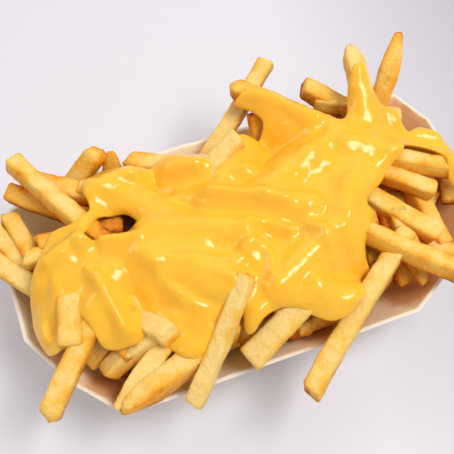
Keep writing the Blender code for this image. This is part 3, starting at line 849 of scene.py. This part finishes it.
sauce = {
    "edge": [
        (-69, 34), (-65, 42), (-58, 46), (-50, 45), (-42, 42), (-34, 41), (-27, 42), (-20, 41),
        (-12, 39), (-2, 37), (8, 41), (17, 40), (22, 45), (18, 52), (12, 58), (18, 60), (26, 58),
        (33, 51), (39, 43), (46, 37), (54, 32), (60, 34), (63, 41), (67, 49), (72, 51.5), (76, 47),
        (77, 40), (79, 36), (84, 35), (87, 31), (87, 26), (89, 22), (93, 23), (99, 24), (104, 19),
        (107, 12), (106, 4), (103, -5), (99, -13), (94, -17), (91, -12), (93, -2), (88, 7),
        (80, 10), (73, 3), (66, 0), (60, -5), (54, -9), (48, -13), (49, -19), (44, -25),
        (40, -30), (39, -36), (40, -42), (35, -48), (28, -53), (20, -57), (12, -57), (5, -54),
        (0, -50), (-4, -48), (-10, -47), (-16, -49), (-21, -52),
        (-24, -50), (-23, -44), (-24, -40), (-28, -41), (-32, -47), (-38, -53), (-45, -54),
        (-51, -51), (-54, -47), (-58, -42), (-62, -38), (-69, -39), (-76, -38), (-81, -35),
        (-83, -28), (-85, -23), (-88, -20), (-92, -22), (-94, -27), (-97, -31), (-102, -30), (-105, -22),
        (-106, -12), (-104, -4), (-100, 3), (-96, 9), (-91, 16), (-86, 21), (-77, 19), (-70, 22),
        (-68, 27),
    ],
    "hole": [(-74, 9), (-66, 6), (-58, 7), (-51, 12), (-54, 18), (-62, 20), (-69, 16)],
    "cell": 1.0,           # mm of the grid that the sauce settles on
    "cover": 2.4,          # mm of sauce over a fry
    "thin": 1.0,           # how much of it a fold may take away
    "coreCover": 2.0,
    "lip": 2.0,            # half the thickness of the sheet
    "brow": 5.0,           # how far in from its edge the sheet starts to round over
    "sag": 0.012,          # how far a taut sheet over the fries would sink
    "rounds": 300,
    "slack": 1.6,          # how far the sauce lies below that sheet
    "drop": 4.0,           # mm that a ridge falls over its spread
    "spread": 6.0,
    "melt": 1.0,           # how softly ridges run together
    "swell": 0.6,
    "ripple": 0.18,
    # thick runs of sauce: both ends and the width
    "ribs": [((4, 33, 62), (-9, 17, 60), 5), ((-64, 37, 54), (-46, 37, 55), 8),
             ((79, 34, 52), (84, 29, 51), 8), ((78, 27, 46), (102, 17, 43), 8),
             ((104, 6, 40), (96, -14, 37), 8)],
    # raised (+) and sunken (-) lines in the sauce: places, height, reach
    "folds": [
        ([(-66, 32), (-57, 35), (-46, 34)], 3.6, 5.0),
        ([(-40, 26), (-34, 20), (-19, 13), (-6, 6), (11, -4)], 2.6, 3.6),
        ([(-30, 12), (-16, 3), (0, -6)], -1.8, 4.0),
        ([(-5, 13), (4, 11), (11, 5)], -3.2, 3.4),
        ([(3, 29), (-6, 23)], -2.2, 4.5),
        ([(-31, 33), (-18, 30)], 3.4, 3.8),
        ([(-38, 35), (-37, 28), (-33, 22)], -4.0, 2.4),
        ([(-60, 15)], -5.0, 9.0),
        ([(-92, 4), (-86, 8), (-78, 9), (-70, 7), (-62, 4), (-52, 1)], 4.2, 3.6),
        ([(-95, 1), (-86, 1), (-76, 0)], -1.6, 3.0),
        ([(-99, -1), (-100, -12), (-98, -24)], -2.0, 2.2),
        ([(-103, 0), (-104, -12), (-101, -25)], 1.8, 2.4),
        ([(-92, -3), (-92, -14)], 1.4, 3.0),
        ([(-36, -14), (-26, -20), (-17, -24)], 1.8, 2.6),
        ([(-40, -8), (-28, -13), (-16, -16)], -1.6, 2.8),
        ([(-71, 8), (-74, -5)], -4.4, 2.0),
        ([(-76, -6), (-73, -19), (-71, -32)], 3.6, 3.0),
        ([(-67, -8), (-63, -19), (-60, -30)], -3.6, 3.4),
        ([(-54, -6), (-50, -16), (-48, -26)], 1.8, 3.4),
        ([(-47, -17), (-37, -25), (-28, -34)], -3.4, 2.8),
        ([(-46, -28), (-39, -35), (-31, -41)], 2.2, 3.0),
        ([(10, -17), (17, -19), (21, -23), (21, -30)], 3.4, 2.6),
        ([(12, -15), (13, -23)], -2.8, 2.8),
        ([(24, -14), (30, -20)], -1.6, 3.0),
        ([(-14, -20), (-9, -18), (-5, -21), (-4, -27), (-7, -35)], 3.2, 2.2),
        ([(-14, -27), (-13, -31)], -2.0, 2.6),
        ([(-6, -7), (0, -10), (8, -18)], 2.4, 2.4),
        ([(-4, -13), (4, -19)], -1.4, 2.6),
        ([(72, 5), (61, 1), (48, -10)], 2.0, 3.2),
        ([(-18, -41), (-11, -36), (-4, -33)], -2.6, 3.0),
        ([(15, 58), (27, 51), (37, 39), (44, 31)], 1.8, 4.0),
        ([(13, 49), (22, 43), (30, 34)], -3.4, 4.0),
        ([(20, 14), (23, 4)], -2.2, 4.5),
        ([(30, 20), (38, 8), (40, -4)], 1.6, 4.0),
        ([(53, 34), (47, 31), (39, 24)], -3.4, 1.8),
        ([(90, -24), (84, -8)], -1.0, 3.0),
    ],
    "mesh": 1.6,           # mm between points inside the sheet
    "edgeMesh": 1.5, "holeMesh": 1.2,
    "insets": [0.25, 0.7, 1.4, 2.4, 3.6],      # mm from the edge to each ring of points
    "fieldHalf": (112, 64),                    # half of the sides that those points fill, mm
    "gridHalf": (126, 74),                     # half of the grid's sides, mm
    "level": 60,                               # mm, near the sheet's height
    "rounding": 0.06,                          # how fast the least cover falls off beside a fry
    "colours": [(0.975, 0.505, 0.028), (0.98, 0.545, 0.042)],
    "speckColour": (0.86, 0.27, 0.02),
    "gloss": (0.10, 0.16),                     # roughness, least and most
    "glow": 0.3, "glowDepth": 0.0022,
}

coatedRows = fryRows["covered"] + [
    fryRows[side][i] for side, i in (
        ("left", 0), ("left", 1), ("left", 4), ("left", 5), ("left", 9), ("left", 10),
        ("front", 1), ("front", 5), ("front", 7), ("front", 8), ("front", 10),
        ("right", 0), ("right", 1), ("right", 2), ("right", 3),
        ("back", 1), ("back", 4), ("back", 6))]


def lineShare(x, y, start, end):
    # how far along a line a place is, and how far off it
    run = np.array(end[:2], float) - np.array(start[:2], float)
    share = np.clip(((x - start[0]) * run[0] + (y - start[1]) * run[1]) / (run @ run), 0, 1)
    away = np.hypot(x - start[0] - run[0] * share, y - start[1] - run[1] * share)
    return share, away


def foldHeight(x, y, line, height, reach):
    nearest = np.hypot(x - line[0][0], y - line[0][1])
    for start, end in zip(line, line[1:]):
        nearest = np.minimum(nearest, lineShare(x, y, start, end)[1])
    return height * np.exp(-(nearest / reach) ** 2)


def neighbours(sheet):
    return np.roll(sheet, 1, 0) + np.roll(sheet, -1, 0) + np.roll(sheet, 1, 1) + np.roll(sheet, -1, 1)


def tautSheet(x, y):
    # the lowest smooth sheet that rests on every covered fry
    rest = coreHeight(x, y)
    for start, end, width, *_ in coatedRows:
        share, away = lineShare(x, y, start, end)
        top = start[2] + (end[2] - start[2]) * share + width * 0.5 + sauce["cover"]
        rest = np.where(away < width * 0.4, np.maximum(rest, top), rest)
    sheet = rest.copy()
    for turn in range(sauce["rounds"]):
        sheet = np.maximum(rest, neighbours(sheet) / 4 - sauce["sag"])
    return sheet


def settleSauce():
    # the height of the sauce: ridges over the fries, melted into each other
    cell = sauce["cell"]
    halfX, halfY = sauce["gridHalf"]
    xs = np.arange(-halfX, halfX + 0.01, cell)
    ys = np.arange(-halfY, halfY + 0.01, cell)
    x, y = np.meshgrid(xs, ys, indexing="ij")
    melt, level = sauce["melt"], sauce["level"]
    rim = [Vector(corner) for corner in tray["rim"]]
    depth = np.full(x.shape, 1000.0)
    for a, b in zip(rim, rim[1:] + rim[:1]):
        side = (b - a).normalized()
        depth = np.minimum(depth, (x - a.x) * -side.y + (y - a.y) * side.x)
    wall = tray["height"] * (1 - np.clip(depth - 1.6, 0, None) / tray["wallRun"]) + 1.5
    total = np.exp((coreHeight(x, y) + sauce["coreCover"] - level) / melt)
    total += np.exp((np.clip(wall, 0, tray["height"] + 1.5) - level) / melt)
    total += np.exp((tautSheet(x, y) - sauce["slack"] - level) / melt)
    least = np.zeros(x.shape)
    for start, end, width, *_ in coatedRows + sauce["ribs"]:
        share, away = lineShare(x, y, start, end)
        top = start[2] + (end[2] - start[2]) * share + width * 0.5 + sauce["cover"]
        least = np.maximum(least, top - sauce["thin"] - away ** 2 * sauce["rounding"])
        total += np.exp((top - sauce["drop"] * (away / sauce["spread"]) ** 2 - level) / melt)
    sheet = level + melt * np.log(total)
    for line, height, reach in sauce["folds"]:
        sheet += foldHeight(x, y, line, height, reach)
    sheet = (sheet * 4 + neighbours(sheet)) / 8
    for i in range(len(xs)):
        for j in range(len(ys)):
            place = Vector((xs[i], ys[j], 0))
            sheet[i, j] += noise.noise(place * 0.075) * sauce["swell"]
            sheet[i, j] += noise.noise(place * 0.22) * sauce["ripple"]
    return xs, ys, np.maximum(sheet, least)


def sauceMaterial():
    material, tree, shader = newMaterial("cheeseSauce")
    place = objectCoordinates(tree)
    broad = noisePattern(tree, place, 45, 3, 0.5)
    fine = noisePattern(tree, place, 420, 3, 0.6)
    dimples = noisePattern(tree, place, 150, 1, 0.4)
    colour = mixColours(tree, remap(tree, broad, 0.35, 0.7), *sauce["colours"])
    specks = tree.nodes.new("ShaderNodeTexVoronoi")
    specks.inputs["Scale"].default_value = 190
    tree.links.new(place, specks.inputs["Vector"])
    dots = remap(tree, specks.outputs["Distance"], 0.10, 0.05)
    colour = mixColours(tree, combine(tree, "MULTIPLY", dots, 0.55), colour, sauce["speckColour"])
    tree.links.new(colour, shader.inputs["Base Color"])
    tree.links.new(remap(tree, broad, 0.3, 0.7, *sauce["gloss"]), shader.inputs["Roughness"])
    shader.inputs["Subsurface Weight"].default_value = sauce["glow"]
    shader.inputs["Subsurface Radius"].default_value = (1.0, 0.6, 0.25)
    shader.inputs["Subsurface Scale"].default_value = sauce["glowDepth"]
    shader.inputs["IOR"].default_value = 1.45
    addBump(tree, shader, combine(tree, "ADD", fine, combine(tree, "MULTIPLY", dimples, 8)), 0.2, 0.0005)
    return material


def makeSauce():
    xs, ys, sheet = settleSauce()
    edge = evenLoop(smoothLoop(sauce["edge"]), sauce["edgeMesh"])
    hole = evenLoop(smoothLoop(sauce["hole"]), sauce["holeMesh"])
    lip = sauce["lip"]
    flats = list(edge) + list(hole)
    loops = (edge, hole)
    rings = []
    for loop in loops:
        for inset in sauce["insets"]:
            for i, corner in enumerate(loop):
                side = (loop[(i + 1) % len(loop)] - loop[i - 1]).normalized()
                rings.append((corner + Vector((side.y, -side.x)) * inset, inset))
    gaps = loopDistances([flat for flat, _ in rings], loops)
    flats += [flat for (flat, inset), gap in zip(rings, gaps) if gap > inset * 0.93]
    step = sauce["mesh"]
    rowStep = step * 0.87      # rows of a triangular grid
    halfX, halfY = sauce["fieldHalf"]
    field = [Vector((-halfX + (i + 0.5 * (j % 2)) * step, -halfY + j * rowStep))
             for i in range(int(2 * halfX / step)) for j in range(int(2 * halfY / rowStep))]
    gaps = loopDistances(field, loops)
    inside = insideLoop(field, edge) & ~insideLoop(field, hole)
    clear = sauce["insets"][-1] + step * 0.5
    flats += [flat for flat, gap, into in zip(field, gaps, inside) if into and gap > clear]
    lines = [(i, (i + 1) % len(edge)) for i in range(len(edge))]
    lines += [(len(edge) + i, len(edge) + (i + 1) % len(hole)) for i in range(len(hole))]
    flats, _, triangles, _, _, _ = delaunay_2d_cdt(flats, lines, [], 0, 1e-5)
    places = np.array([tuple(flat) for flat in flats])
    gaps = loopDistances(flats, loops)
    column = np.clip((places[:, 0] - xs[0]) / sauce["cell"], 0, len(xs) - 1.001)
    row = np.clip((places[:, 1] - ys[0]) / sauce["cell"], 0, len(ys) - 1.001)
    ci, ri = column.astype(int), row.astype(int)
    cf, rf = column - ci, row - ri
    heights = (sheet[ci, ri] * (1 - cf) * (1 - rf) + sheet[ci + 1, ri] * cf * (1 - rf)
               + sheet[ci, ri + 1] * (1 - cf) * rf + sheet[ci + 1, ri + 1] * cf * rf)
    fall = np.sqrt(np.clip(1 - np.clip(1 - gaps / sauce["brow"], 0, 1) ** 2, 0, 1))
    tuck = np.sqrt(np.clip(1 - np.clip(1 - gaps / lip, 0, 1) ** 2, 0, 1))
    middle = heights - lip * 1.25 + lip * 0.25 * fall
    count = len(flats)
    points = [Vector((p[0], p[1], z)) * mm for p, z in zip(places, middle + lip * fall)]
    points += [Vector((p[0], p[1], z)) * mm for p, z in zip(places, middle - lip * tuck)]
    centres = [(flats[t[0]] + flats[t[1]] + flats[t[2]]) / 3 for t in triangles]
    kept = insideLoop(centres, edge) & ~insideLoop(centres, hole)
    faces = []
    borders = set()
    for triangle, keep in zip(triangles, kept):
        if not keep:
            continue
        faces.append(tuple(triangle))
        faces.append(tuple(count + i for i in reversed(triangle)))
        for a, b in zip(triangle, triangle[1:] + triangle[:1]):
            if (b, a) in borders:
                borders.remove((b, a))
            else:
                borders.add((a, b))
    faces += [(b, a, count + a, count + b) for a, b in borders]
    piece = makePiece("cheeseSauce", points, faces, sauceMaterial())
    bm = bmesh.new()
    bm.from_mesh(piece.data)
    bmesh.ops.remove_doubles(bm, verts=bm.verts, dist=0.02 * mm)
    loose = [vert for vert in bm.verts if not vert.link_faces]
    bmesh.ops.delete(bm, geom=loose, context="VERTS")
    bmesh.ops.recalc_face_normals(bm, faces=bm.faces)
    bm.to_mesh(piece.data)
    bm.free()
    piece.data.shade_smooth()
    finer = piece.modifiers.new("finer", "SUBSURF")
    finer.levels = finer.render_levels = 1
    standFor(piece, "cheese_sauce")


makeFries()
print("fries ready")
makeSauce()
print("cheese sauce ready")
